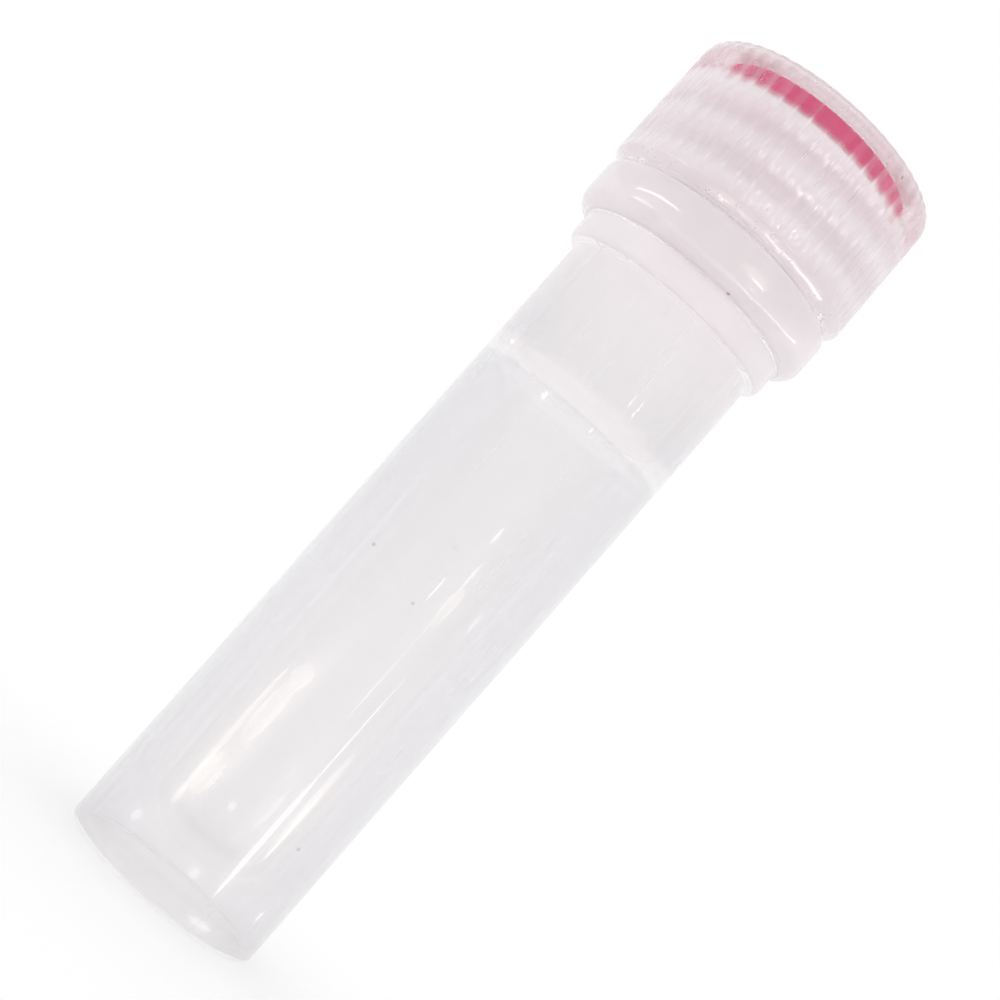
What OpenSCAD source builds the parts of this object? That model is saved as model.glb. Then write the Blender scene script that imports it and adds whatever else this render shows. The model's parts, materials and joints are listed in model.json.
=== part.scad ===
// Self-standing screw-cap vial: a skirted tube, its ribbed cap, and the sealing ring in the cap.
// All sizes are millimetres. The origin is the centre of the foot, and +Z points to the cap.

/* [Body] */
// Outer radius of the straight body, which a rack hole takes
body_r = 5.4; // [5:0.1:5.6]
// Wall of the open skirt below the web
skirt_wall = 0.7; // [0.5:0.05:0.9]
// Rounding of the foot's two edges
foot_round = 0.2; // [0.1:0.05:0.24]
// Height of the web's underside above the foot
web_z = 29.1; // [20:0.5:31]
// Thickness of the web at the wall
web_t = 1; // [0.8:0.1:1.4]
// Drop of the funnel on top of the web, towards the vessel's mouth
funnel_drop = 0.4; // [0.1:0.1:0.5]
// Fillet where the web meets the skirt and the vessel
web_fillet = 0.4; // [0.1:0.05:0.5]

/* [Inner vessel] */
// Outer radius of the vessel just under the web
vessel_top_r = 3.65; // [3.3:0.05:3.8]
// Outer radius of the vessel where its bottom starts to round
vessel_low_r = 3.2; // [2.8:0.05:3.6]
// Wall of the vessel
vessel_wall = 0.75; // [0.5:0.05:0.9]
// Height of the vessel's lowest point above the foot
vessel_tip_z = 1.9; // [1:0.1:8]
// Outer radius of the knuckle between the vessel's side and its dished bottom
knuckle_r = 1.2; // [1:0.1:1.6]
// Outer radius of the dished bottom itself
dish_r = 4.5; // [3.8:0.1:8]

/* [Collar and flange] */
// Height of the collar's underside above the foot
collar_z = 35.75; // [33:0.25:38]
// Height of the collar
collar_t = 1.55; // [0.8:0.05:3]
// How far the collar stands out from the body
collar_out = 0.53; // [0.3:0.01:0.7]
// Rounding of the collar's lower edge
collar_round = 0.5; // [0.1:0.05:0.7]
// Height of the flange
flange_t = 2.7; // [1.8:0.1:4]
// How far the flange stands out from the body
flange_out = 1.38; // [1:0.02:1.5]
// Rounding of the flange's lower edge
flange_low_round = 1; // [0.3:0.1:1.2]
// Rounding of the flange's upper edge
flange_top_round = 0.5; // [0.1:0.1:0.6]

/* [Neck] */
// Radius of the bore above the web
bore_r = 4.4; // [4:0.05:4.5]
// Wall of the neck at the root of its thread
neck_wall = 0.7; // [0.6:0.05:0.9]
// Height of the neck from the flange to the rim
neck_h = 6.15; // [5.8:0.05:9]
// Rounding of the rim's two edges
rim_round = 0.2; // [0.05:0.05:0.25]

/* [Thread] */
// Lift of the cap in one turn
pitch = 2; // [1.8:0.1:2.2]
// Turns of the neck's thread
neck_turns = 2; // [1:0.25:2]
// Turns of the cap's thread
cap_turns = 1.75; // [1:0.25:1.75]
// Height of both threads above the walls they stand on
thread_h = 0.4; // [0.3:0.05:0.5]
// Width of both threads at the crest
crest_w = 0.45; // [0.3:0.05:0.6]
// Radial gap between a thread's crest and the wall opposite
thread_gap = 0.2; // [0.15:0.05:0.3]

/* [Cap] */
// Wall of the cap's skirt over the ribs, at its lower edge
cap_wall = 1.28; // [1:0.01:1.6]
// How much the cap narrows from its lower edge to its top, on the radius
cap_draft = 0.08; // [0:0.01:0.15]
// Thickness of the top plate
top_t = 0.6; // [0.5:0.05:1.5]
// Rounding of the cap's top edge
top_round = 0.8; // [0.3:0.1:0.8]
// Chamfer of the cap's lower edge
cap_chamfer = 0.45; // [0.1:0.05:0.6]
// Gap between the closed cap's lower edge and the flange
cap_gap = 0.15; // [0.05:0.05:0.4]
// Number of grip ribs
rib_count = 52; // [24:4:60]
// Width of a rib
rib_w = 0.3; // [0.2:0.05:0.4]
// Height of a rib above the skirt between the ribs
rib_h = 0.15; // [0.05:0.01:0.2]
// Plain band between the chamfer and the lower ends of the ribs
plain_band = 0.4; // [0.1:0.1:1.5]

/* [Seal ring] */
// Thickness of the ring
seal_t = 0.95; // [0.6:0.05:1.5]
// Radial gap between the ring and the cap, outside and inside
seal_gap = 0.1; // [0.05:0.05:0.2]
// How far the ring reaches inwards past the bore
seal_in = 0.3; // [0.1:0.05:0.6]
// How much lower the ring reaches than the boss that locates it
boss_short = 0.2; // [0.1:0.05:0.4]

/* [Hidden] */
$fn = 96;

// Overshoot of cuts and of pieces that are joined
eps = 0.5;
// Depth that a thread's foot or a rib is sunk in its wall
sink = 0.15;
// Flat rings in one turn of a thread
ring_count = 32;
// Straight steps in each arc of the vessel's bottom
arc_steps = 8;
// Half of the angle between a thread's flanks
flank_deg = 30;
// Part of a turn over which a thread runs out at each end
runout = 0.12;

skirt_in_r = body_r - skirt_wall;
web_top_z = web_z + web_t;
throat_z = web_top_z - funnel_drop;
throat_r = vessel_top_r - vessel_wall;

collar_r = body_r + collar_out;
flange_z = collar_z + collar_t;
flange_r = body_r + flange_out;
flange_top_z = flange_z + flange_t;

neck_r = bore_r + neck_wall;
rim_z = flange_top_z + neck_h;

cap_bore_r = neck_r + thread_h + thread_gap;
cap_r = cap_bore_r + cap_wall;
cap_z = flange_top_z + cap_gap;
cap_ceiling_z = rim_z + seal_t;
cap_top_z = cap_ceiling_z + top_t;
rib_z = cap_z + cap_chamfer + plain_band;

seal_out_r = cap_bore_r - seal_gap;
seal_in_r = bore_r - seal_in;
boss_r = seal_in_r - seal_gap;
boss_t = seal_t - boss_short;

// Half of a thread's width at its sunk foot
foot_half = crest_w / 2 + (thread_h + sink) * tan(flank_deg);
// Height at which the middle of the neck's thread starts, at -X; the cap's starts half a pitch
// higher, so the two lie in each other's grooves
neck_thread_z = flange_top_z + pitch / 2;
cap_thread_z = neck_thread_z + pitch / 2;
// The neck's thread ends below the rounded rim, and the cap's below the sealing ring
neck_lead = min(neck_turns, (rim_z - rim_round - foot_half - neck_thread_z) / pitch);
cap_lead = min(cap_turns, (rim_z - foot_half - cap_thread_z) / pitch);

// Waste of a rounded outer corner at [x, z]; side and end are +1 or -1 and point out of the solid
module corner_waste(x, z, r, side, end) {
    translate([x - side * r, z - end * r])
        difference() {
            translate([side > 0 ? 0 : -r - eps, end > 0 ? 0 : -r - eps])
                square(r + eps);
            circle(r);
        }
}

// Web of an inner corner at [x, z]; side and end are +1 or -1 and point into the open space
module corner_fill(x, z, r, side, end) {
    difference() {
        translate([x - (side > 0 ? sink : r), z - (end > 0 ? sink : r)])
            square(r + sink);
        translate([x + side * r, z + end * r])
            circle(r);
    }
}

// Points on an arc about [x, z], without its first point
function arc(x, z, r, from, to) =
    [for (i = [1 : arc_steps]) let (a = from + (to - from) * i / arc_steps) [x + r * cos(a), z + r * sin(a)]];

// Half section of the vessel, all inside it filled, drawn inset from its outer surface:
// dish, knuckle and tapered side meet tangentially, and stay parallel at any inset
module vessel_section(inset, top_z) {
    knuckle_x = vessel_low_r - knuckle_r;
    dish_z = vessel_tip_z + dish_r;
    knuckle_z = dish_z - sqrt(pow(dish_r - knuckle_r, 2) - pow(knuckle_x, 2));
    meet_deg = asin(knuckle_x / (dish_r - knuckle_r)) - 90;
    polygon(concat(
        [[0, top_z], [0, vessel_tip_z + inset]],
        arc(0, dish_z, dish_r - inset, -90, meet_deg),
        arc(knuckle_x, knuckle_z, knuckle_r - inset, meet_deg, 0),
        [[vessel_top_r - inset, web_z], [vessel_top_r - inset, top_z]]
    ));
}

// Half section of a disc from z up, with its outer edges rounded
module disc_section(r, z, h, low_round, top_round) {
    difference() {
        translate([0, z])
            square([r, h]);
        corner_waste(r, z, low_round, 1, -1);
        corner_waste(r, z + h, top_round, 1, 1);
    }
}

// Half section of the tube's outside, all inside it filled
module tube_outline() {
    disc_section(body_r, 0, flange_z + flange_t / 2, foot_round, 0);
    disc_section(collar_r, collar_z, collar_t + flange_t / 2, collar_round, 0);
    disc_section(flange_r, flange_z, flange_t, flange_low_round, flange_top_round);
    disc_section(neck_r, flange_z, rim_z - flange_z, 0, rim_round);
}

// Half section of the space between the skirt and the vessel, open at the foot
module skirt_space() {
    difference() {
        union() {
            translate([0, -eps])
                square([skirt_in_r, web_z + eps]);
            corner_waste(skirt_in_r, 0, foot_round, -1, -1);
        }
        vessel_section(0, web_z);
        corner_fill(skirt_in_r, web_z, web_fillet, -1, -1);
        corner_fill(vessel_top_r, web_z, web_fillet, 1, -1);
    }
}

// Half section of the space that holds the sample, from the dished bottom to the rim
module sample_space() {
    vessel_section(vessel_wall, throat_z);
    polygon([[0, web_z], [throat_r, throat_z], [bore_r, web_top_z], [0, web_top_z + eps]]);
    translate([0, web_top_z])
        square([bore_r, rim_z - web_top_z + eps]);
    corner_waste(bore_r, rim_z, rim_round, -1, 1);
}

// One ring of a thread: a trapezoid at a turns from the start, its foot sunk in the wall.
// way is +1 where the thread stands outwards and -1 where it stands inwards.
function thread_ring(a, wall_r, way, lead) =
    let (
        grow = min(1, a / runout, (lead - a) / runout),
        rise = (thread_h + sink / 2) * grow - sink / 2,
        crest_half = foot_half - (rise + sink) * tan(flank_deg),
        foot_r = wall_r - way * sink,
        crest_r = wall_r + way * rise,
        z = a * pitch
    )
    [
        for (p = [[foot_r, z - foot_half], [crest_r, z - crest_half],
                  [crest_r, z + crest_half], [foot_r, z + foot_half]])
            [-p[0] * cos(360 * a), -p[0] * sin(360 * a), p[1]]
    ];

// A right-hand thread that climbs from z = 0 at -X
module thread(wall_r, way, lead) {
    last = floor(lead * ring_count);
    points = [
        for (i = [0 : last])
            each thread_ring(i / ring_count, wall_r, way, last / ring_count)
    ];
    sides = [
        for (i = [0 : last - 1], k = [0 : 3])
            let (a = 4 * i + k, b = 4 * i + (k + 1) % 4)
                each [[a, b, b + 4], [a, b + 4, a + 4]]
    ];
    ends = [[3, 2, 1], [3, 1, 0], [4 * last, 4 * last + 1, 4 * last + 2], [4 * last, 4 * last + 2, 4 * last + 3]];
    faces = concat(sides, ends);
    polyhedron(points, way > 0 ? faces : [for (f = faces) [f[2], f[1], f[0]]]);
}

// Half section of the cap's outside, inset sideways from the crests of the ribs
module cap_outline(inset) {
    top_r = cap_r - cap_draft - inset;
    difference() {
        polygon([
            [0, cap_z],
            [cap_r - cap_chamfer - inset, cap_z],
            [cap_r - inset, cap_z + cap_chamfer],
            [top_r, cap_top_z - top_round],
            [top_r, cap_top_z],
            [0, cap_top_z]
        ]);
        corner_waste(top_r, cap_top_z, top_round, 1, 1);
    }
}

module vial() {
    color([0.92, 0.93, 0.94, 0.6]) {
        rotate_extrude()
            difference() {
                tube_outline();
                skirt_space();
                sample_space();
            }
        translate([0, 0, neck_thread_z])
            thread(neck_r, 1, neck_lead);
    }
}

module cap() {
    color([0.96, 0.88, 0.9, 0.6]) {
        difference() {
            union() {
                rotate_extrude()
                    cap_outline(rib_h);
                intersection() {
                    rotate_extrude()
                        cap_outline(0);
                    union() {
                        translate([0, 0, cap_z])
                            cylinder(r = cap_r + eps, h = rib_z - cap_z);
                        for (i = [0 : rib_count - 1])
                            rotate(i * 360 / rib_count)
                                translate([cap_bore_r + cap_wall / 2, -rib_w / 2, rib_z - sink])
                                    cube([cap_wall, rib_w, cap_top_z - rib_z + eps]);
                    }
                }
            }
            rotate_extrude()
                difference() {
                    translate([0, cap_z - eps])
                        square([cap_bore_r, cap_ceiling_z - cap_z + eps]);
                    translate([0, cap_ceiling_z - boss_t])
                        square([boss_r, boss_t + eps]);
                }
        }
        translate([0, 0, cap_thread_z])
            thread(cap_bore_r, -1, cap_lead);
    }
}

module seal_ring() {
    color([0.86, 0.3, 0.46])
        translate([0, 0, rim_z])
            rotate_extrude()
                translate([seal_in_r, 0])
                    square([seal_out_r - seal_in_r, seal_t]);
}

vial();
cap();
seal_ring();
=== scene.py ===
# %% [markdown]
# # A self-standing screw-cap vial
# The vial is three pieces: a clear-to-milky plastic tube, a ribbed plastic cap and a red rubber
# sealing ring. All three are turned shapes. The tube also has a thread on its neck, and the cap
# has a thread inside and grip ribs outside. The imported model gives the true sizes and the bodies
# that move, so it is loaded first and everything else is placed from it.

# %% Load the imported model
import json
import math

import bmesh
import bpy
from mathutils import Matrix, Vector

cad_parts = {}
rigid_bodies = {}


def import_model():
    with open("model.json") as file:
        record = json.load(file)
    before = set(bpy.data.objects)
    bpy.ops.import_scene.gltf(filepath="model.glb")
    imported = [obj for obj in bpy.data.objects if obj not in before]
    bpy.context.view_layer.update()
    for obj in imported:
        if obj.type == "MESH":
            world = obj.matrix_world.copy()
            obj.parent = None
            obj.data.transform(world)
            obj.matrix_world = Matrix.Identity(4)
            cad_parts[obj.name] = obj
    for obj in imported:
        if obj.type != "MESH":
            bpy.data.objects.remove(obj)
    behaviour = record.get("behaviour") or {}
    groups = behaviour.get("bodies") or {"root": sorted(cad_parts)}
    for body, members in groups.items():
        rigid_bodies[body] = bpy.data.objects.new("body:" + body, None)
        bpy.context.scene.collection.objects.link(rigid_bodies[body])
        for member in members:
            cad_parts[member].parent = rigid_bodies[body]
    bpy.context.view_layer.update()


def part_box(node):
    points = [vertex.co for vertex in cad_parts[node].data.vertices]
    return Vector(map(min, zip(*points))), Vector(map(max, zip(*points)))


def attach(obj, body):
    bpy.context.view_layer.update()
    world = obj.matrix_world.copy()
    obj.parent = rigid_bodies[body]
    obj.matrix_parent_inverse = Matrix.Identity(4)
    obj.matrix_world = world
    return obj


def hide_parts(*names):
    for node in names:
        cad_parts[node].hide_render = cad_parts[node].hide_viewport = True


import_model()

# %% [markdown]
# ## Sizes
# The main heights and radii are read from the nodes' boxes, so that the finer pieces fit the
# solids that they stand for. What a box can't say, such as a wall or a fillet, is named in
# millimetres where it is first needed. A bench object is best made at its real size, and Blender
# counts in metres, so MM turns one into the other.

# %% Read the main sizes from the nodes
MM = 0.001

vial_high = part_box("vial")[1]
cap_low, cap_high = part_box("cap")
ring_low, ring_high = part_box("seal_ring")

rim_z = vial_high.z / MM
flange_r = vial_high.x / MM
cap_z = cap_low.z / MM
cap_top_z = cap_high.z / MM
cap_r = cap_high.x / MM
ring_z = ring_low.z / MM
ring_top_z = ring_high.z / MM
ring_r = ring_high.x / MM
print(f"rim {rim_z:.2f}, flange radius {flange_r:.2f}, cap {cap_z:.2f} to {cap_top_z:.2f} mm")
print(f"ring {ring_z:.2f} to {ring_top_z:.2f}, radius {ring_r:.2f} mm")

# %% [markdown]
# ## Turning a profile
# Moulded tubes are drawn as a half section and turned about their axis. The half section is a
# short list of corners, each with its own fillet, and a formula rounds them. A spin of the
# profile then makes the skin. Bevelling the finished skin would also work, but the fillets of a
# thin wall would run into each other, and a profile keeps them apart.


# %% Round the corners of a half section
def rounded(corners, steps=6):
    """Corners are (radius, height, fillet) in millimetres; the ends of the list stay sharp."""
    points = [Vector(corners[0][:2])]
    for before, corner, after in zip(corners, corners[1:], corners[2:]):
        at = Vector(corner[:2])
        back = (Vector(before[:2]) - at).normalized()
        on = (Vector(after[:2]) - at).normalized()
        fillet = corner[2] if len(corner) > 2 else 0
        if not fillet:
            points.append(at)
            continue
        half = math.acos(max(-1, min(1, back.dot(on)))) / 2
        centre = at + (back + on).normalized() * fillet / math.sin(half)
        first = at + back * fillet / math.tan(half) - centre
        last = at + on * fillet / math.tan(half) - centre
        sweep = first.angle_signed(last)
        for i in range(steps + 1):
            turn_by = Matrix.Rotation(-sweep * i / steps, 2)
            points.append(centre + turn_by @ first)
    points.append(Vector(corners[-1][:2]))
    return points


print("a bracket with one fillet:", len(rounded([(0, 1), (1, 1, 0.3), (1, 0)])), "points")


# %% Draw an arc, and split long edges
def arc(x, z, r, start, end, steps):
    """Points on an arc about (x, z), from one angle to another in degrees."""
    angles = [math.radians(start + (end - start) * i / steps) for i in range(steps + 1)]
    return [Vector((x + r * math.cos(a), z + r * math.sin(a))) for a in angles]


def split_long(points, longest):
    """Adds points on the straight stretches, so that no edge is longer than that."""
    out = [points[0]]
    for a, b in zip(points, points[1:]):
        parts = max(1, math.ceil((b - a).length / longest))
        out += [a.lerp(b, i / parts) for i in range(1, parts + 1)]
    return out


edge = [Vector((0, 0)), Vector((0, 5))]
print("a 5 mm edge in steps of at most 2 mm:", len(split_long(edge, 2)), "points")

# %% Spin a half section into a closed skin
SAME_POINT = 1e-7


def turned(points, steps, closed=False):
    """Spins the points; closed joins the last one to the first, for a ring with a hole."""
    mesh = bmesh.new()
    verts = [mesh.verts.new((p.x * MM, 0, p.y * MM)) for p in points]
    pairs = list(zip(verts, verts[1:])) + ([(verts[-1], verts[0])] if closed else [])
    edges = [mesh.edges.new(pair) for pair in pairs]
    bmesh.ops.spin(
        mesh,
        geom=verts + edges,
        cent=(0, 0, 0),
        axis=(0, 0, 1),
        dvec=(0, 0, 0),
        angle=math.tau,
        steps=steps,
        use_merge=True,
    )
    bmesh.ops.remove_doubles(mesh, verts=mesh.verts, dist=SAME_POINT)
    bmesh.ops.recalc_face_normals(mesh, faces=mesh.faces)
    return mesh


test = turned([Vector((1, 0)), Vector((1, 1))], 8)
print("a short pipe in 8 steps:", len(test.faces), "faces")
test.free()


# %% Make an object of a finished skin
def finished(mesh, name):
    """Makes a smooth-shaded object at the world's origin and frees the bmesh."""
    data = bpy.data.meshes.new(name)
    mesh.to_mesh(data)
    mesh.free()
    data.polygons.foreach_set("use_smooth", [True] * len(data.polygons))
    piece = bpy.data.objects.new(name, data)
    bpy.context.scene.collection.objects.link(piece)
    triangles = sum(len(polygon.vertices) - 2 for polygon in data.polygons)
    print(name, len(data.vertices), "points,", triangles, "triangles")
    return piece


# %% [markdown]
# ## The thread
# A screw thread is a ridge that climbs by its pitch in each turn. A ridge could be swept along a
# helix and pushed into the wall, but a see-through plastic would show its buried foot. So the
# neck and the bore of the cap are turned as fine grids, and the points that the helix passes are
# moved outwards, or inwards in the cap. Each piece stays one closed skin.

# %% Say how high the thread stands at a point
pitch = 2.0
thread_h = 0.4
runout_turns = 0.12
ridge_foot = 0.48
ridge_crest = 0.2


def smooth_step(low, high, x):
    t = max(0.0, min(1.0, (x - low) / (high - low)))
    return t * t * (3 - 2 * t)


def ridge(angle, z, start_z, turns):
    """Height of the ridge, from 0 to 1; the thread starts at -X and climbs anticlockwise."""
    around = ((angle - math.pi) % math.tau) / math.tau
    best = 0.0
    for turn in range(math.ceil(turns)):
        along = turn + around
        runout = min(along, turns - along) / runout_turns
        if runout <= 0:
            continue
        off = abs(z - start_z - along * pitch)
        best = max(best, smooth_step(ridge_foot, ridge_crest, off) * smooth_step(0, 1, runout))
    return best


on_helix, off_helix = ridge(0, pitch / 2, 0, 2), ridge(0, pitch, 0, 2)
print("ridge on the helix and half a pitch above it:", on_helix, off_helix)

# %% Raise the thread on a turned wall
OUTWARDS, INWARDS = 1, -1
on_wall = 1e-4
thread_zone = 0.6


def raise_thread(mesh, wall_r, way, start_z, turns):
    """Moves the points of the wall with that radius where the thread passes."""
    low, high = start_z - thread_zone, start_z + turns * pitch + thread_zone
    moved = 0
    for v in mesh.verts:
        r = math.hypot(v.co.x, v.co.y)
        z = v.co.z / MM
        if abs(r / MM - wall_r) > on_wall or not low < z < high:
            continue
        up = thread_h * ridge(math.atan2(v.co.y, v.co.x), z, start_z, turns) * MM * way
        v.co.x *= (r + up) / r
        v.co.y *= (r + up) / r
        moved += up != 0
    print("thread:", moved, "points moved")


# %% [markdown]
# ## The tube
# One moulding does everything: an open skirt to stand on, a tapered vessel hanging inside it
# from a web, a collar and a flange that stop it in a rack, and a threaded neck. The parts could
# be turned one by one and joined, but joints inside a see-through wall show. So the half section
# runs from the vessel's lowest point up its outside, round the skirt, up to the rim and down the
# bore again, and one spin closes it.

# %% Name the tube's heights
web_z = 29.1
web_t = 1.0
funnel_drop = 0.4
collar_z = 35.75
collar_t = 1.55
flange_t = 2.7

web_top_z = web_z + web_t
throat_z = web_top_z - funnel_drop
flange_z = collar_z + collar_t
flange_top_z = flange_z + flange_t
neck_thread_z = flange_top_z + pitch / 2
print(f"web {web_z:.2f} to {web_top_z:.2f}, flange {flange_z:.2f} to {flange_top_z:.2f} mm")

# %% Name the tube's radii and walls
body_r = 5.4
skirt_wall = 0.7
vessel_top_r = 3.65
vessel_low_r = 3.2
vessel_wall = 0.75
collar_r = 5.93
neck_r = 5.1
bore_r = 4.4

skirt_r = body_r - skirt_wall
print(f"wall of the skirt {skirt_wall}, of the vessel {vessel_wall}, of the neck {neck_r - bore_r:.1f} mm")

# %% [markdown]
# ### The vessel's dished bottom
# The vessel ends in a shallow dish with a rounded knuckle, like the bottom of a tank. A bevelled
# flat bottom would look like a cup. The half section has two arcs that meet without a kink: the
# dish, centred on the axis, and the knuckle, centred beside it. The inner face uses the same two
# centres with smaller radii, so the wall is equally thick all over.

# %% Draw the vessel's dished bottom
vessel_tip_z = 1.9
dish_r = 4.5
knuckle_r = 1.2
DISH_STEPS, KNUCKLE_STEPS = 10, 8

dish_z = vessel_tip_z + dish_r
knuckle_x = vessel_low_r - knuckle_r
knuckle_z = dish_z - math.sqrt((dish_r - knuckle_r) ** 2 - knuckle_x**2)
meet_deg = math.degrees(math.asin(knuckle_x / (dish_r - knuckle_r))) - 90


def dished_bottom(inset):
    dish = arc(0, dish_z, dish_r - inset, -90, meet_deg, DISH_STEPS)
    knuckle = arc(knuckle_x, knuckle_z, knuckle_r - inset, meet_deg, 0, KNUCKLE_STEPS)
    return dish + knuckle[1:]


print(f"dish and knuckle meet at {meet_deg:.1f} degrees, straight from {knuckle_z:.2f} mm up")

# %% Draw the outside of the tube
web_fillet = 0.4
foot_round = 0.2
collar_root_round = 0.1
collar_round = 0.45
flange_root_round = 0.06
flange_low_round = 0.8
flange_top_round = 0.5
neck_root_round = 0.15
lip_h = 0.6
lip_z = rim_z - lip_h

outside = rounded(
    [
        (vessel_low_r, knuckle_z),
        (vessel_top_r, web_z, web_fillet),
        (skirt_r, web_z, web_fillet),
        (skirt_r, 0, foot_round),
        (body_r, 0, foot_round),
        (body_r, collar_z, collar_root_round),
        (collar_r, collar_z, collar_round),
        (collar_r, flange_z, flange_root_round),
        (flange_r, flange_z, flange_low_round),
        (flange_r, flange_top_z, flange_top_round),
        (neck_r, flange_top_z, neck_root_round),
        (neck_r, lip_z),
    ]
)
print("outside of the tube:", len(outside), "points")

# %% Draw the rim and the inside of the tube
rim_round = 0.2
bore_floor_round = 0.5
throat_round = 0.3

rim_corners = [(neck_r, lip_z), (neck_r, rim_z, rim_round), (bore_r, rim_z, rim_round), (bore_r, lip_z)]
rim = rounded(rim_corners)
inside = rounded(
    [
        (bore_r, lip_z),
        (bore_r, web_top_z, bore_floor_round),
        (vessel_top_r - vessel_wall, throat_z, throat_round),
        (vessel_low_r - vessel_wall, knuckle_z),
    ]
)
print("rim and inside:", len(rim) + len(inside), "points")

# %% Turn the tube and raise its thread
TUBE_STEPS = 192
plain_step = 2.0
neck_step = 0.04
neck_turns = 2

tube_profile = (
    dished_bottom(0)
    + split_long(outside[1:-2], plain_step)
    + split_long(outside[-2:], neck_step)
    + rim[1:]
    + split_long(inside[1:-1], plain_step)
    + dished_bottom(vessel_wall)[::-1]
)
print("tube profile:", len(tube_profile), "points")

tube = turned(tube_profile, TUBE_STEPS)
raise_thread(tube, neck_r, OUTWARDS, neck_thread_z, neck_turns)
vial = finished(tube, "vial_tube")
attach(vial, "vial")
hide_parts("vial")

# %% [markdown]
# ## The cap
# Outside, the cap is a shallow cup with 52 grip ribs that start above a plain band and fade into
# the rounded top. Inside it has the matching thread and a boss that the ring sits round. Fifty-two
# bars set on the wall would give hard corners and buried faces. Here the whole skin is turned with
# eight points to a rib, and the points between the crests are moved inwards.

# %% Name the cap's sizes
cap_bore_r = 5.7
cap_chamfer = 0.45
cap_draft = 0.08
plain_band = 0.4
boss_r = 4.0
boss_t = 0.75
top_round = 0.8

rib_z = cap_z + cap_chamfer + plain_band
cap_side_r = cap_r - cap_draft
cap_mid_r = (cap_bore_r + cap_r) / 2
ceiling_z = ring_top_z
print(f"ribs from {rib_z:.2f} mm, ceiling at {ceiling_z:.2f} mm, top {cap_top_z - ceiling_z:.2f} mm thick")

# %% Draw the cap's half section
chamfer_round = 0.2
lip_round = 0.1
mouth_round = 0.12
mouth_h = 0.3
seat_round = 0.1
seat_drop = 0.1
boss_root_round = 0.05
boss_round = 0.15
cap_plain_step = 0.6
cap_bore_step = 0.05

cap_outside = rounded(
    [
        (0, cap_top_z),
        (cap_side_r, cap_top_z, top_round),
        (cap_r, cap_z + cap_chamfer, chamfer_round),
        (cap_r - cap_chamfer, cap_z, lip_round),
        (cap_bore_r, cap_z, mouth_round),
        (cap_bore_r, cap_z + mouth_h),
    ],
    steps=10,
)
cap_inside = rounded(
    [
        (cap_bore_r, ring_z - seat_drop),
        (cap_bore_r, ceiling_z, seat_round),
        (boss_r, ceiling_z, boss_root_round),
        (boss_r, ceiling_z - boss_t, boss_round),
        (0, ceiling_z - boss_t),
    ],
    steps=4,
)
bore = split_long([cap_outside[-1], cap_inside[0]], cap_bore_step)
cap_profile = split_long(cap_outside[:-1], cap_plain_step) + bore + cap_inside[1:]
print("cap profile:", len(cap_profile), "points")

# %% Say how deep the groove is at an angle
rib_count = 52
rib_h = 0.1
rib_pitch_share = 0.46
rib_start_h = 0.2


def groove(angle):
    """Depth of the groove between two ribs at that angle, from 0 on a crest to 1."""
    pitch_angle = math.tau / rib_count
    off = abs((angle / pitch_angle + 0.5) % 1 - 0.5) * pitch_angle * cap_r
    return smooth_step(0.0, rib_pitch_share * pitch_angle * cap_r, off)


print("groove on a crest and between two:", groove(0), groove(math.pi / rib_count))


# %% Press the grooves into the cap's side
def press_grooves(mesh):
    """The grooves start softly above the plain band and fade out over the rounded edge."""
    round_r = cap_side_r - top_round
    for v in mesh.verts:
        r = math.hypot(v.co.x, v.co.y) / MM
        z = v.co.z / MM
        if z < rib_z or r < round_r or r < cap_mid_r and z < ceiling_z:
            continue
        slope = min(1.0, (r - round_r) / top_round)
        rise = smooth_step(rib_z, rib_z + rib_start_h, z)
        depth = rib_h * groove(math.atan2(v.co.y, v.co.x)) * slope * rise
        v.co.x *= (r - depth) / r
        v.co.y *= (r - depth) / r
    print("ribs pressed:", rib_count)


# %% Turn the cap, raise its thread and press in its grooves
POINTS_PER_RIB = 8
cap_turns = 1.75

cap_mesh = turned(cap_profile, rib_count * POINTS_PER_RIB)
raise_thread(cap_mesh, cap_bore_r, INWARDS, neck_thread_z + pitch / 2, cap_turns)
press_grooves(cap_mesh)
cap = finished(cap_mesh, "ribbed_cap")
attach(cap, "cap")
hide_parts("cap")

# %% [markdown]
# ## The sealing ring
# A flat washer of red silicone that the rim presses on. A torus would be too round, and a cut
# cylinder too sharp, so a small rectangle with eased edges is turned. The list of corners starts
# and ends on the same side, and the rounded loop between them is closed before the spin.

# %% Turn the ring
RING_STEPS = 160
past_bore = 0.3
ease = 0.08

ring_in_r = bore_r - past_bore
ring_corners = [(ring_in_r, ring_z), (ring_r, ring_z), (ring_r, ring_top_z), (ring_in_r, ring_top_z)]
looped = [ring_corners[-1]] + [(x, z, ease) for x, z in ring_corners] + [ring_corners[0]]
ring_mesh = turned(rounded(looped, steps=4)[1:-1], RING_STEPS, closed=True)
seal = finished(ring_mesh, "silicone_ring")
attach(seal, "seal_ring")
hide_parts("seal_ring")

# %% [markdown]
# ## Shared effects
# Moulded plastic is never perfectly even: it has fine lines along the way it was pulled from the
# mould, specks of dust, and here ribs and a thread that show through it. Several skins use each
# of these, so each is a node group with named inputs that puts out one mask. They all start from
# Object coordinates, which stay with the piece when it moves. Painted textures would need an
# unwrapping and would blur close up.


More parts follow.
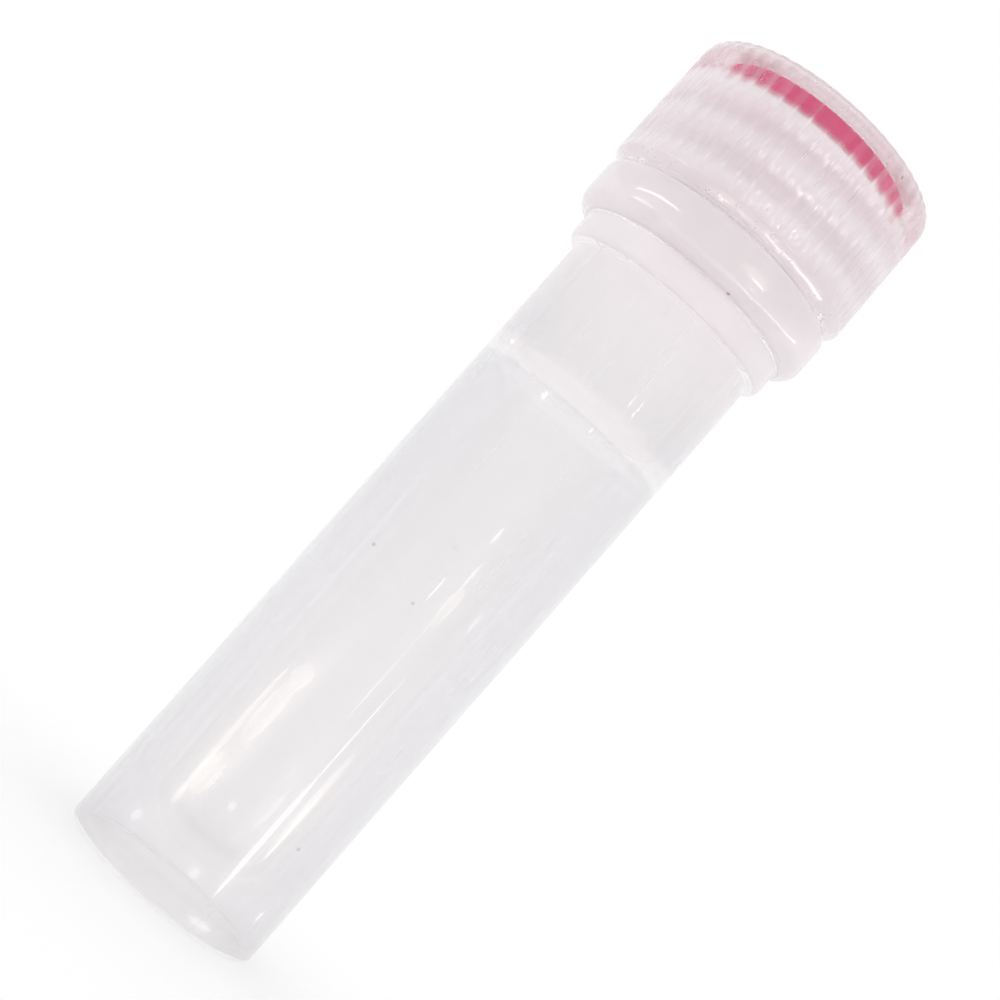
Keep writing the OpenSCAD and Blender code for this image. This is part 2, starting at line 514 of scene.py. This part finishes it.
# %% Make a node group and its Math nodes
def new_group(name, inputs, output):
    """Makes a group that puts out one value; an input with no number is a vector."""
    group = bpy.data.node_groups.new(name, "ShaderNodeTree")
    for socket, value in inputs.items():
        kind = "NodeSocketVector" if value is None else "NodeSocketFloat"
        made = group.interface.new_socket(socket, in_out="INPUT", socket_type=kind)
        if value is not None:
            made.default_value = value
    group.interface.new_socket(output, in_out="OUTPUT", socket_type="NodeSocketFloat")
    start = group.nodes.new("NodeGroupInput").outputs
    end = group.nodes.new("NodeGroupOutput").inputs[output]
    print("group", name, "with", list(inputs), "gives", output)
    return group, start, end


def calc(tree, operation, *values):
    """Adds a Math node; the values are sockets or numbers."""
    node = tree.nodes.new("ShaderNodeMath")
    node.operation = operation
    for socket, value in zip(node.inputs, values):
        if isinstance(value, (int, float)):
            socket.default_value = value
        else:
            tree.links.new(value, socket)
    return node.outputs[0]


# %% [markdown]
# ### Drawn lines
# A mould's polish and the pull of the tube leave faint upright lines. A noise texture gives them
# when it is squeezed across and stretched along the axis. A wave texture would be too regular.

# %% Build the drawn lines
line_inputs = {"Place": None, "Across": 3000.0, "Along": 120.0}
lines_group, start, end = new_group("drawn_lines", line_inputs, "Height")
stretch = lines_group.nodes.new("ShaderNodeCombineXYZ")
for axis, source in zip("XYZ", ("Across", "Across", "Along")):
    lines_group.links.new(start[source], stretch.inputs[axis])
scaled = lines_group.nodes.new("ShaderNodeVectorMath")
scaled.operation = "MULTIPLY"
lines_group.links.new(start["Place"], scaled.inputs[0])
lines_group.links.new(stretch.outputs[0], scaled.inputs[1])
noise = lines_group.nodes.new("ShaderNodeTexNoise")
noise.inputs["Scale"].default_value = 1.0
noise.inputs["Detail"].default_value = 2.0
lines_group.links.new(scaled.outputs[0], noise.inputs["Vector"])
lines_group.links.new(noise.outputs["Fac"], end)

# %% [markdown]
# ### Specks of dust
# A bench object always has a few dark specks. Each cell of a Voronoi texture has one centre, so
# a small distance from it gives one small dot, and the density sets how many there are. Modelled
# grains would be more faces for the same look.

# %% Build the specks
speck_inputs = {"Place": None, "Density": 300.0, "Size": 0.03}
specks_group, start, end = new_group("dust_specks", speck_inputs, "Mask")
cells = specks_group.nodes.new("ShaderNodeTexVoronoi")
specks_group.links.new(start["Place"], cells.inputs["Vector"])
specks_group.links.new(start["Density"], cells.inputs["Scale"])
specks_group.links.new(calc(specks_group, "LESS_THAN", cells.outputs["Distance"], start["Size"]), end)

# %% [markdown]
# ### Rib crests and thread bands
# Each rib catches the light on its crest, and the thread behind the cap's wall shows as pale
# bands that climb. Both could be left to the rays, but through milky plastic that takes very many
# samples. Two masks of the angle and the height find the same places at once.


# %% Find the turn and the height of a place
def turn_and_height(tree, place):
    """The angle round the axis as a share of a turn, and the height."""
    axes = tree.nodes.new("ShaderNodeSeparateXYZ")
    tree.links.new(place, axes.inputs[0])
    angle = calc(tree, "ARCTAN2", axes.outputs["Y"], axes.outputs["X"])
    return calc(tree, "DIVIDE", angle, math.tau), axes.outputs["Z"]


# %% Build the rib crests
crest_softness = 0.3

ribs_group, start, end = new_group("rib_crests", {"Place": None, "Count": 52.0, "Share": 0.2}, "Mask")
turn, _ = turn_and_height(ribs_group, start["Place"])
off = calc(ribs_group, "PINGPONG", calc(ribs_group, "MULTIPLY", turn, start["Count"]), 0.5)
off = calc(ribs_group, "DIVIDE", off, start["Share"])
off = calc(ribs_group, "SMOOTH_MIN", off, 1.0, crest_softness)
ribs_group.links.new(calc(ribs_group, "SUBTRACT", 1.0, off), end)

# %% Build the thread bands
band_group, start, end = new_group("thread_bands", {"Place": None, "Start": 0.0, "Pitch": 1.0}, "Mask")
turn, height = turn_and_height(band_group, start["Place"])
turns_up = calc(band_group, "DIVIDE", calc(band_group, "SUBTRACT", height, start["Start"]), start["Pitch"])
off = calc(band_group, "SUBTRACT", turns_up, calc(band_group, "SUBTRACT", turn, 0.5))
off = calc(band_group, "PINGPONG", off, 0.5)
band_group.links.new(calc(band_group, "SUBTRACT", 1.0, calc(band_group, "MULTIPLY", off, 2.0)), end)
print("groups:", [group.name for group in bpy.data.node_groups])

# %% [markdown]
# ## Milky plastic
# Polypropylene is milky rather than clear. Part of the light passes straight through (alpha),
# part is bent and blurred (rough transmission), and a little is scattered (diffuse). Its skin is
# still glossy, so a thin smooth coat carries the sharp highlights. A cloud of scattering inside
# the wall would be closer to nature, but it is slow and noisy. A veil on the skin is quick, and
# its share can be set for each face of the piece.


# %% Start a material and place a group in it
def new_material(name):
    """A new material with its tree, its shader's inputs and the place on the piece."""
    material = bpy.data.materials.new(name)
    material.use_nodes = True
    tree = material.node_tree
    shader = next(n for n in tree.nodes if n.type == "BSDF_PRINCIPLED")
    place = tree.nodes.new("ShaderNodeTexCoord").outputs["Object"]
    return material, tree, shader.inputs, place


def placed(tree, group, place, **values):
    """Puts a group in a tree, at that place and with its numbers set."""
    node = tree.nodes.new("ShaderNodeGroup")
    node.node_tree = group
    tree.links.new(place, node.inputs["Place"])
    for socket, value in values.items():
        node.inputs[socket].default_value = value
    return node.outputs[0]


# %% Spread a value, blend two colours and mask a belt
def spread(tree, value, low, high, from_low=0.0, from_high=1.0):
    """Turns a value of from_low to from_high into low to high."""
    node = tree.nodes.new("ShaderNodeMapRange")
    node.inputs["From Min"].default_value = from_low
    node.inputs["From Max"].default_value = from_high
    node.inputs["To Min"].default_value = low
    node.inputs["To Max"].default_value = high
    tree.links.new(value, node.inputs["Value"])
    return node.outputs[0]


def blend(tree, factor, a, b):
    """Mixes a colour, or a socket that gives one, with another by factor."""
    node = tree.nodes.new("ShaderNodeMix")
    node.data_type = "RGBA"
    tree.links.new(factor, node.inputs["Factor"])
    for name, colour in (("A", a), ("B", b)):
        if isinstance(colour, tuple):
            node.inputs[name].default_value = (*colour, 1)
        else:
            tree.links.new(colour, node.inputs[name])
    return node.outputs["Result"]


def between(tree, up, low, high, soft=0.2):
    """A mask that is 1 from one height to another, in millimetres, with soft edges."""
    rise = spread(tree, up, 0, 1, (low - soft) * MM, (low + soft) * MM)
    fall = spread(tree, up, 1, 0, (high - soft) * MM, (high + soft) * MM)
    return calc(tree, "MULTIPLY", rise, fall)


# %% [markdown]
# ### Where the ribs and the thread show
# The crests don't shine as even stripes. They are broken into dots where the thread's bands lie
# behind them, and some are brighter than others. So the mask of the crests is multiplied by the
# bands and by a coarse noise, and it is kept to the cap's side, off the flat top.


# %% Find the thread and the shining crests
def near_thread(tree, place):
    """1 on the helix of the neck's thread and 0 between its turns."""
    bands = placed(tree, band_group, place, Start=neck_thread_z * MM, Pitch=pitch * MM)
    return spread(tree, bands, 0, 1, 0.5, 0.85)


crest_share = 0.16
crest_soft = 0.3
away_from_thread = 0.4


def shining_crests(tree, place, up, thread):
    """A mask of the crests: strongest at the thread, uneven, and only on the cap's side."""
    crests = placed(tree, ribs_group, place, Count=float(rib_count), Share=crest_share)
    side = between(tree, up, rib_z + crest_soft, cap_top_z - top_round / 2, crest_soft)
    dotted = calc(tree, "MULTIPLY", side, spread(tree, thread, away_from_thread, 1))
    coarse = placed(tree, lines_group, place, Across=1200.0, Along=40.0)
    uneven = calc(tree, "MULTIPLY", dotted, spread(tree, coarse, 0.2, 1.8, 0.4, 0.6))
    return calc(tree, "MULTIPLY", crests, uneven)


# %% Colour a skin and lay its gloss
dust_grey = (0.25, 0.22, 0.22)


def colour_skin(tree, place, up, colour, fade, belts, band, thread):
    """The colour, what it fades to with the height, belts of other tones and a painted highlight along the
    thread.
    """
    if fade:
        other, z_low, z_high = fade
        colour = blend(tree, spread(tree, up, 0, 1, z_low * MM, z_high * MM), colour, other)
    for z_low, z_high, soft, tone in belts:
        colour = blend(tree, between(tree, up, z_low, z_high, soft), colour, tone)
    # painted highlight: the band along the thread is painted paler, where the thread behind the wall would
    # catch the light
    if band:
        colour = blend(tree, thread, colour, band)
    return blend(tree, placed(tree, specks_group, place), colour, dust_grey)


def lay_gloss(tree, sockets, place, rough, coat, worn):
    """Drawn lines, a noise of about 0.3 to 0.7, make the coat patchy and the roughness uneven."""
    drawn = placed(tree, lines_group, place)
    tree.links.new(spread(tree, drawn, coat * worn, coat, 0.36, 0.56), sockets["Coat Weight"])
    tree.links.new(spread(tree, drawn, rough * 0.9, rough * 1.1, 0.3, 0.7), sockets["Roughness"])


# %% Make one skin of plastic
PLASTIC_IOR = 1.49
COAT_ROUGHNESS = 0.04


def plastic(
    name, colour, rough, clear, veil, behind, coat,
    fade=None, belts=(), band=None, ribs=0, window=None, slant=0, worn=0.9,
):
    """One skin of a plastic piece.

    clear is the share of light that is bent rather than scattered. veil is how much the skin
    hides from outside and behind how much it hides from within the plastic. fade is another
    colour and the heights between which it comes, belts are (from, to, softness, tone), and the
    band is a paler colour painted along the thread, a painted highlight. ribs adds to the veil on
    the crests, window is (from, to, how much less veil), and slant adds to the veil where the skin
    is seen at a slant. worn is the share of the coat that is left where it is dullest. Heights are
    in millimetres.
    """
    material, tree, sockets, place = new_material(name)
    sockets["IOR"].default_value = PLASTIC_IOR
    sockets["Transmission Weight"].default_value = clear
    sockets["Coat Roughness"].default_value = COAT_ROUGHNESS
    axes = tree.nodes.new("ShaderNodeSeparateXYZ")
    tree.links.new(place, axes.inputs[0])
    up = axes.outputs["Z"]
    thread = near_thread(tree, place) if band else None

    hidden = spread(tree, tree.nodes.new("ShaderNodeNewGeometry").outputs["Backfacing"], veil, behind)
    if ribs:
        hidden = calc(tree, "MULTIPLY_ADD", shining_crests(tree, place, up, thread), ribs, hidden)
    if window:
        z_low, z_high, less = window
        hidden = calc(tree, "MULTIPLY_ADD", between(tree, up, z_low, z_high), -less, hidden)
    if slant:
        facing = tree.nodes.new("ShaderNodeLayerWeight")
        facing.inputs["Blend"].default_value = 0.5
        hidden = calc(tree, "MULTIPLY_ADD", facing.outputs["Facing"], slant, hidden)
    tree.links.new(hidden, sockets["Alpha"])

    shown = colour_skin(tree, place, up, colour, fade, belts, band, thread)
    tree.links.new(shown, sockets["Base Color"])
    lay_gloss(tree, sockets, place, rough, coat, worn)
    print(name, "has", len(tree.nodes), "nodes")
    return material


# %% Dress a piece in its skins
def skins(piece, materials, which):
    """which gives a material's name from a face's radius and height in millimetres."""
    for material in materials:
        piece.data.materials.append(material)
    number = {material.name: i for i, material in enumerate(materials)}
    counts = dict.fromkeys(number, 0)
    for polygon in piece.data.polygons:
        r = math.hypot(polygon.center.x, polygon.center.y) / MM
        name = which(r, polygon.center.z / MM)
        polygon.material_index = number[name]
        counts[name] += 1
    print(piece.name, "faces:", counts)


# %% [markdown]
# ## The tube's skins
# The tube is grey-white and clear where its wall is thin, cloudy where the collar and the flange
# are thick, and pale at the web. The faint blue of its outer skin is a painted cool reflection at
# its sides, and the pink that fades in towards the collar and the flange is a painted reflection of
# the red ring. One material with many masks could do that, but a few plain ones on chosen faces
# are easier to tune. Creases and the corners under the web get a skin with little veil, because
# light spreads inside milky plastic and leaves no dark line there.

# %% Mix the tube's colours
# painted reflection: the faint blue of the outer greys stands in for cool surroundings mirrored at the
# tube's sides; the second grey is darker towards the bottom
milky_painted_cool = (0.655, 0.642, 0.672)
low_milky_painted_cool = (0.61, 0.594, 0.622)
# painted reflection: this pink stands in for the red ring's light reflected in the collar and the flange
painted_ring_reflection_pink = (0.86, 0.78, 0.808)
inner_pink = (0.97, 0.93, 0.948)
bore_pink = (0.9, 0.845, 0.867)
web_pink = (0.97, 0.925, 0.943)
belt_pink = (0.85, 0.805, 0.825)
# painted highlight: the foot's near white paints its rim as a bright line where it would show a dark edge
painted_foot_highlight = (0.95, 0.935, 0.95)
print("the tube fades from", milky_painted_cool, "to", painted_ring_reflection_pink)

# %% Choose the tube's skin at each place
foot_skin_z = 0.35
web_skin_drop = 0.1
corner_drop = 0.45
corner_over = 0.05
past_wall = 0.1
above_flange = 0.01
collar_crease_h = 0.12
collar_crease_in = 0.2
flange_crease_h = 0.1
top_crease_h = 0.15
wall_mid_r = (skirt_r + body_r) / 2
neck_mid_r = (bore_r + neck_r) / 2


def tube_skin(r, z):
    if z < foot_skin_z and r > skirt_r - past_wall:
        return "tube_foot_skin"
    if z > flange_top_z + above_flange and r > neck_mid_r:
        return "tube_neck_skin"
    if z > web_top_z and r < neck_mid_r:
        return "tube_bore_skin"
    under_web = web_z - corner_drop < z < web_z + corner_over
    if under_web and vessel_top_r - past_wall < r < skirt_r + past_wall:
        return "tube_corner_skin"
    if z > web_z - web_skin_drop and r < wall_mid_r:
        return "tube_web_skin"
    if r < wall_mid_r:
        return "tube_inner_skin"
    at_collar = abs(z - collar_z) < collar_crease_h and r < collar_r - collar_crease_in
    at_flange = abs(z - flange_z) < flange_crease_h and r < collar_r + past_wall
    if z > flange_top_z - top_crease_h or at_collar or at_flange:
        return "tube_crease_skin"
    return "tube_flange_skin" if z > collar_z else "tube_outer_skin"


print("skin at the body's middle:", tube_skin(body_r, collar_z / 2))

# %% Give the tube its skins
# painted reflection: the outer skin fades to the ring's reflected pink from 31 to 37 mm
outer_look = {
    "fade": (painted_ring_reflection_pink, 31, 37),
    "belts": [(web_z - web_skin_drop, web_top_z, 0.2, belt_pink), (-10, 10, 5, low_milky_painted_cool)],
    "slant": 0.5,
    "worn": 0.4,
}
skins(
    vial,
    [
        plastic(
            "tube_outer_skin", milky_painted_cool, rough=0.25, clear=0.85, veil=0.5, behind=0.06, coat=0.8, **outer_look
        ),
        plastic(
            "tube_flange_skin", painted_ring_reflection_pink, rough=0.4, clear=0.5, veil=0.65, behind=0.08, coat=0.8, slant=0.3
        ),
        plastic("tube_inner_skin", inner_pink, rough=0.2, clear=0.9, veil=0.4, behind=0.04, coat=0.3),
        plastic("tube_bore_skin", bore_pink, rough=0.3, clear=0.6, veil=0.55, behind=0.2, coat=0.3),
        plastic("tube_neck_skin", inner_pink, rough=0.3, clear=0.6, veil=0.4, behind=0.1, coat=0.3),
        plastic("tube_web_skin", web_pink, rough=0.3, clear=0.5, veil=0.4, behind=0.1, coat=0.3),
        plastic("tube_corner_skin", web_pink, rough=0.3, clear=0.5, veil=0.1, behind=0.04, coat=0.3),
        plastic("tube_foot_skin", painted_foot_highlight, rough=0.2, clear=0.6, veil=0.5, behind=0.2, coat=0.6),
        plastic("tube_crease_skin", painted_ring_reflection_pink, rough=0.4, clear=0.5, veil=0.25, behind=0.08, coat=0.5),
    ],
    tube_skin,
)

# %% [markdown]
# ## The cap's skins
# The cap is cloudier than the tube. Its pink, strongest at its top, is painted: it stands in for
# the red ring's light scattered in the plastic. The ring shows through its side as a red band, so
# the outer skin has a window at the ring's height: a belt with less veil. A clear insert would do
# the same, but the real cap is one piece of plastic.

# %% Mix the cap's colours
# painted light: these pinks stand in for the red ring's light scattered in the cap, most of all at its top
painted_ring_light_pink = (0.87, 0.78, 0.81)
painted_ring_light_top_pink = (0.87, 0.735, 0.78)
# painted highlight: paler than the cap, for the bands where the thread shows through its side
painted_thread_highlight = (0.92, 0.86, 0.88)
painted_ring_light_thread_pink = (0.86, 0.765, 0.795)
# painted highlight: paler than the bore, along the thread inside it
painted_thread_highlight_inner = (0.93, 0.86, 0.885)
print("the cap fades from", painted_ring_light_pink, "to", painted_ring_light_top_pink)

# %% Choose the cap's skin at each place
cap_crease_h = 0.06
seat_skin_drop = 0.15


def cap_skin(r, z):
    if z < cap_z + cap_crease_h:
        return "cap_crease_skin"
    if r > cap_mid_r or z > ceiling_z:
        return "cap_outer_skin"
    return "cap_seat_skin" if z > ring_z - seat_skin_drop else "cap_thread_skin"


print("skin in the cap's bore:", cap_skin(cap_bore_r, rib_z))

# %% Give the cap its skins
# painted light: the side fades to the pinker top from 42 to 46 mm, and its band along the thread is a
# painted highlight
side_look = {
    "fade": (painted_ring_light_top_pink, 42, 46),
    "band": painted_thread_highlight,
    "ribs": 0.3,
    "window": (ring_z - 0.45, ring_top_z - 0.35, 0.47),
    "slant": 0.8,
}
thread_look = {"rough": 0.25, "clear": 0.15, "veil": 0.4, "behind": 1.0, "coat": 0.5}
skins(
    cap,
    [
        plastic(
            "cap_outer_skin", painted_ring_light_pink, rough=0.3, clear=0.5, veil=0.55, behind=0.1, coat=0.8, **side_look
        ),
        plastic("cap_seat_skin", painted_ring_light_pink, rough=0.1, clear=0.9, veil=0.3, behind=0.1, coat=0.2),
        plastic("cap_thread_skin", painted_ring_light_thread_pink, band=painted_thread_highlight_inner, **thread_look),
        plastic("cap_crease_skin", painted_ring_light_pink, rough=0.3, clear=0.5, veil=0.25, behind=0.1, coat=0.5),
    ],
    cap_skin,
)

# %% [markdown]
# ## The ring's rubber
# Silicone is dyed through and a little uneven, with a satin skin. One plain red would look like
# paint, and scattering under the skin isn't seen through the cap. A fine noise between two near
# reds is enough.

# %% Colour the ring
MOTTLE_SCALE = 900.0
deep_red = (0.6, 0.015, 0.12)
bright_red = (0.76, 0.03, 0.18)

red, tree, sockets, place = new_material("red_silicone")
sockets["Roughness"].default_value = 0.45
mottle = tree.nodes.new("ShaderNodeTexNoise")
mottle.inputs["Scale"].default_value = MOTTLE_SCALE
tree.links.new(place, mottle.inputs["Vector"])
reds = blend(tree, mottle.outputs["Fac"], deep_red, bright_red)
tree.links.new(reds, sockets["Base Color"])
seal.data.materials.append(red)
print("ring material:", red.name)

# %% [markdown]
# ## Floor and room
# The vial stands on a white floor in an even white room, so its own colours show as they are.
# A floor that is only lit turns grey wherever the vial hides the room, also where it shows through
# the plastic. So it glows a little, but only in what the eye, a reflection or the plastic sees,
# and the light on the vial stays as it is.

# %% Lay the floor
FLOOR_HALF = 1.5
floor_glow = 0.1

floor_mesh = bmesh.new()
bmesh.ops.create_grid(floor_mesh, x_segments=1, y_segments=1, size=FLOOR_HALF)
floor = finished(floor_mesh, "floor")

floor_material, tree, sockets, _ = new_material("pale_floor")
sockets["Base Color"].default_value = (0.92, 0.92, 0.92, 1)
sockets["Roughness"].default_value = 1.0
sockets["Specular IOR Level"].default_value = 0.0
sockets["Emission Color"].default_value = (1, 1, 1, 1)
path = tree.nodes.new("ShaderNodeLightPath").outputs
seen = calc(tree, "MAXIMUM", path["Is Camera Ray"], path["Is Glossy Ray"])
seen = calc(tree, "MAXIMUM", seen, path["Is Transmission Ray"])
tree.links.new(spread(tree, seen, 0, floor_glow), sockets["Emission Strength"])
floor.data.materials.append(floor_material)

# %% Light the room
world = bpy.data.worlds.new("studio")
bpy.context.scene.world = world
world.use_nodes = True
background = next(n for n in world.node_tree.nodes if n.type == "BACKGROUND")
background.inputs["Color"].default_value = (1, 1, 1, 1)
background.inputs["Strength"].default_value = 1.0
print("room:", world.name)

# %% [markdown]
# ## Lamps that only shine in reflections
# Glossy plastic shows windows and lamps as streaks. Big soft boxes would also light the floor and
# wash out the pale plastic, so each streak has its own small lamp that only reflections see. It is
# placed by the law of mirrors: where the streak should show on the round form, the line of sight
# is reflected, and the lamp hangs a little way along it. Round-ended lamps give streaks with soft
# tips, as real ones have.

# %% Find where a lamp must hang
camera_distance = 88.24
camera_height = 16.98
eye = Vector((0, -camera_distance, camera_height))


def mirrored(across, z, r, reach, lean):
    """A spot on a round form whose wall leans by that angle, and the place that it mirrors."""
    spot = Vector((across * r, -r * math.sqrt(1 - across * across), z))
    normal = Vector((spot.x, spot.y, 0)).normalized() * math.cos(math.radians(lean))
    normal.z = math.sin(math.radians(lean))
    sight = (eye - spot).normalized()
    return spot, spot + (normal * 2 * normal.dot(sight) - sight) * reach


spot, seen_at = mirrored(0, camera_height, body_r, reach=10, lean=0)
print("straight ahead of the eye the wall mirrors", [round(n, 2) for n in seen_at], "mm")

# %% Hang one lamp
white = (1.0, 1.0, 1.0)
warm = (1.0, 0.96, 0.75)
REACH = 14


def streak(
    name, first, last, width, level,
    colour=white, r=body_r, reach=REACH, lean=0, shape="ELLIPSE",
):
    """Ends are (share of the radius, height), sizes in millimetres; level 1 is the room's white."""
    first_spot, first_end = mirrored(*first, r, reach, lean)
    last_spot, last_end = mirrored(*last, r, reach, lean)
    lamp = bpy.data.lights.new(name, "AREA")
    lamp.shape = shape
    lamp.size = width * MM
    lamp.size_y = (last_end - first_end).length * MM
    area = lamp.size * lamp.size_y * (math.pi / 4 if shape == "ELLIPSE" else 1)
    lamp.energy = level * math.pi * area
    lamp.color = colour
    holder = bpy.data.objects.new(name, lamp)
    bpy.context.scene.collection.objects.link(holder)
    holder.visible_camera = False
    holder.visible_diffuse = False
    holder.visible_transmission = False
    middle = (first_end + last_end) / 2
    along = (last_end - first_end).normalized()
    back = middle - (first_spot + last_spot) / 2
    back = (back - along * back.dot(along)).normalized()
    turn = Matrix((along.cross(back), along, back)).transposed()
    holder.matrix_world = Matrix.Translation(middle * MM) @ turn.to_4x4()


# %% [markdown]
# ### Streaks on the body
# The body mirrors a window and its frame as broken upright streaks, with small glints at the foot
# and round the web. Near the foot a lamp hangs closer, because further out the mirrored line of
# sight runs below the floor.

# %% Hang the lamps of the body
# name, share of the radius, lowest and highest point, width, level, colour
body_streaks = [
    ("right_line_low", 0.386, 2, 8.8, 0.75, 13, white),
    ("right_line_top", 0.386, 6, 15, 0.5, 9, white),
    ("right_panel", 0.49, 4.7, 10.8, 2.4, 4.5, warm),
    ("right_panel_tail", 0.5, 4.6, 8.5, 0.5, 7, warm),
    ("right_low_patch", 0.27, 5.4, 7.5, 2.4, 3.5, warm),
    ("upper_line", 0.245, 11.8, 18, 0.5, 7, warm),
    ("upper_patch", 0.265, 17.4, 19.6, 3.4, 4, warm),
    ("upper_tip", 0.24, 19.4, 20.9, 0.8, 7, warm),
    ("upper_dash", 0.18, 21.8, 22.8, 1.1, 9, white),
    ("side_dash", 0.09, 18, 19.3, 0.6, 9, white),
    ("far_dash", 0.52, 18.2, 19.3, 1.2, 6, white),
    ("left_edge", -0.4, 4.2, 11.8, 1.5, 8, warm),
    ("left_patch", -0.28, 7.9, 11.5, 6.0, 3.5, warm),
    ("left_top", -0.265, 11.2, 12.5, 6.0, 4.5, warm),
    ("left_low_patch", -0.315, 4.8, 7.1, 6.5, 4.5, warm),
    ("left_tail", -0.385, 3.9, 5, 2.0, 6, warm),
    ("left_base_glint", -0.53, 2.1, 2.7, 1.4, 5, white),
    ("right_base_glint", 0.14, 2.0, 2.6, 1.6, 6, warm),
    ("middle_glint", 0.01, 5.4, 5.8, 2.4, 7, white),
    ("far_base_glint", 0.79, 2.1, 2.7, 0.5, 7, white),
    ("web_line", 0.368, 30.3, 31.3, 0.5, 14, white),
    ("web_short_line", 0.286, 30.6, 31.3, 0.5, 12, warm),
    ("web_glint", -0.3, 28.3, 28.7, 1.6, 16, white),
    ("web_small_glint", 0.19, 28.5, 28.8, 0.8, 16, white),
    ("web_far_glint", -0.82, 29.6, 29.8, 2.4, 3, white),
]
for name, across, low_z, high_z, width, level, colour in body_streaks:
    above_floor = min(REACH, 3 * low_z)
    streak(name, (across, low_z), (across, high_z), width, level, colour, reach=above_floor)
streak("foot_dash", (0.34, 0.5), (0.56, 0.55), 0.4, 5, reach=2)
print("lamps of the body:", len(body_streaks) + 1)

# %% [markdown]
# ### Glints on the collar, the flange and the cap
# The rounded collar and flange mirror short level dashes, the cap's chamfer a bright thin edge,
# and the rib crests three rows of dots. The chamfer faces half down, so its lamps are mirrored on
# a wall that leans. They keep square ends, so that they join into one line that brightens.

# %% Hang the lamps of the collar and the flange
streak("flange_line", (-0.7, 38.15), (-0.37, 38.4), 0.4, 12, r=flange_r)
streak("flange_patch", (0.17, 38.3), (0.42, 38.3), 1.6, 3, warm, r=flange_r)
streak("flange_dash", (0.28, 37.9), (0.4, 37.8), 0.4, 16, r=flange_r)
streak("collar_spot", (-0.68, 36.5), (-0.5, 36.5), 1.4, 5, r=collar_r)
streak("collar_dash", (0.3, 36.4), (0.36, 36.4), 0.8, 6, r=collar_r)
print("lamps so far:", len(bpy.data.lights))

# %% Hang the lamps of the cap
CHAMFER_LEAN = -45
chamfer_z = cap_z + cap_chamfer / 2
chamfer_r = cap_r - 0.2
edge_parts = [(-0.35, -0.1, 3), (-0.1, 0.15, 4), (0.15, 0.4, 7), (0.4, 0.6, 8), (0.6, 0.74, 8)]
edge_look = {"r": chamfer_r, "reach": 3, "lean": CHAMFER_LEAN, "shape": "RECTANGLE"}
for part, (from_share, to_share, level) in enumerate(edge_parts):
    streak(f"cap_edge_{part}", (from_share, chamfer_z), (to_share, chamfer_z), 0.2, level, **edge_look)

dots_wide = 0.12
for row, row_z, level in ((1, 41.6, 7), (2, 43.3, 11), (3, 45.2, 9)):
    for part, across in enumerate((-0.1, 0.12, 0.34)):
        ends = (across, row_z), (across + dots_wide, row_z)
        streak(f"rib_dots_{row}_{part}", *ends, 0.35, level, r=cap_r, reach=16)

# %% [markdown]
# ## Camera
# The vial is looked at from close by and from a little below its middle, and it leans across the
# view. It could be laid over for that, but then it would leave its place in the shared frame. So
# the camera tilts up and rolls, and the pieces stay where they are. A camera looks straight down
# until it is turned, so 90 degrees make it level and the tilt comes on top.

# %% Place the camera
tilt_deg = 4.555
roll_deg = 41.378
FOCAL_LENGTH = 66.67
NEAREST = 0.001

camera_data = bpy.data.cameras.new("camera")
camera = bpy.data.objects.new("camera", camera_data)
bpy.context.scene.collection.objects.link(camera)
bpy.context.scene.camera = camera
camera_data.lens = FOCAL_LENGTH
camera_data.clip_start = NEAREST
camera.location = eye * MM
camera.rotation_mode = "QUATERNION"
aim = Matrix.Rotation(math.radians(90 + tilt_deg), 3, "X")
camera.rotation_quaternion = (aim @ Matrix.Rotation(math.radians(roll_deg), 3, "Z")).to_quaternion()
bpy.context.scene.view_settings.view_transform = "Standard"
print("camera at", [round(n, 4) for n in camera.location], "metres")
